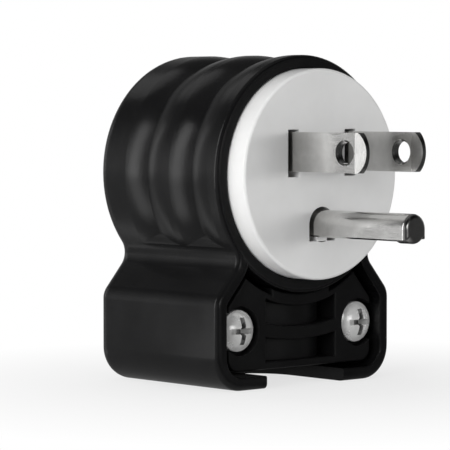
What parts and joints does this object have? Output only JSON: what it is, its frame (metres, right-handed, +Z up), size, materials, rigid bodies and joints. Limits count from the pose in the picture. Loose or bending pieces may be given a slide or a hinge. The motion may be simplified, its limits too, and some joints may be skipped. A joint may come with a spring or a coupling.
{
  "type": "straight blade plug",
  "caption": "Right-angle grounded straight blade plug with a ribbed round grip, a pale contact face and an outside cord strap.",
  "frame": {"origin": "centre of the contact face, on the axis of the round barrel", "axes": "+X to the right as one faces the blades, +Y into the housing, +Z up; the blades point along -Y and the cord leaves along -Z"},
  "size_m": [0.0388, 0.0555, 0.0541],
  "materials": {
    "housing_nylon": "satin moulded nylon, near black",
    "face_nylon": "satin moulded nylon, pale grey",
    "body_nylon": "moulded nylon",
    "plated_brass": "nickel plated, drawn",
    "brass": "plain turned or stamped brass",
    "plated_steel": "bright zinc plated",
    "green_steel": "green dyed plating"
  },
  "bodies": {
    "root": {"assembly_screw_left": "plated_steel", "assembly_screw_right": "plated_steel", "cord_strap": "housing_nylon", "face": "face_nylon", "ground_clamp_plate": "brass", "ground_pin": "plated_brass", "ground_terminal_screw": "green_steel", "hot_blade": "plated_brass", "hot_clamp_plate": "brass", "hot_terminal_screw": "brass", "housing": "housing_nylon", "neutral_blade": "plated_brass", "neutral_clamp_plate": "brass", "neutral_terminal_screw": "plated_steel", "strap_nut_left": "plated_steel", "strap_nut_right": "plated_steel", "strap_screw_left": "plated_steel", "strap_screw_right": "plated_steel", "terminal_body": "body_nylon", "threaded_insert_left": "brass", "threaded_insert_right": "brass"}
  },
  "joints": []
}
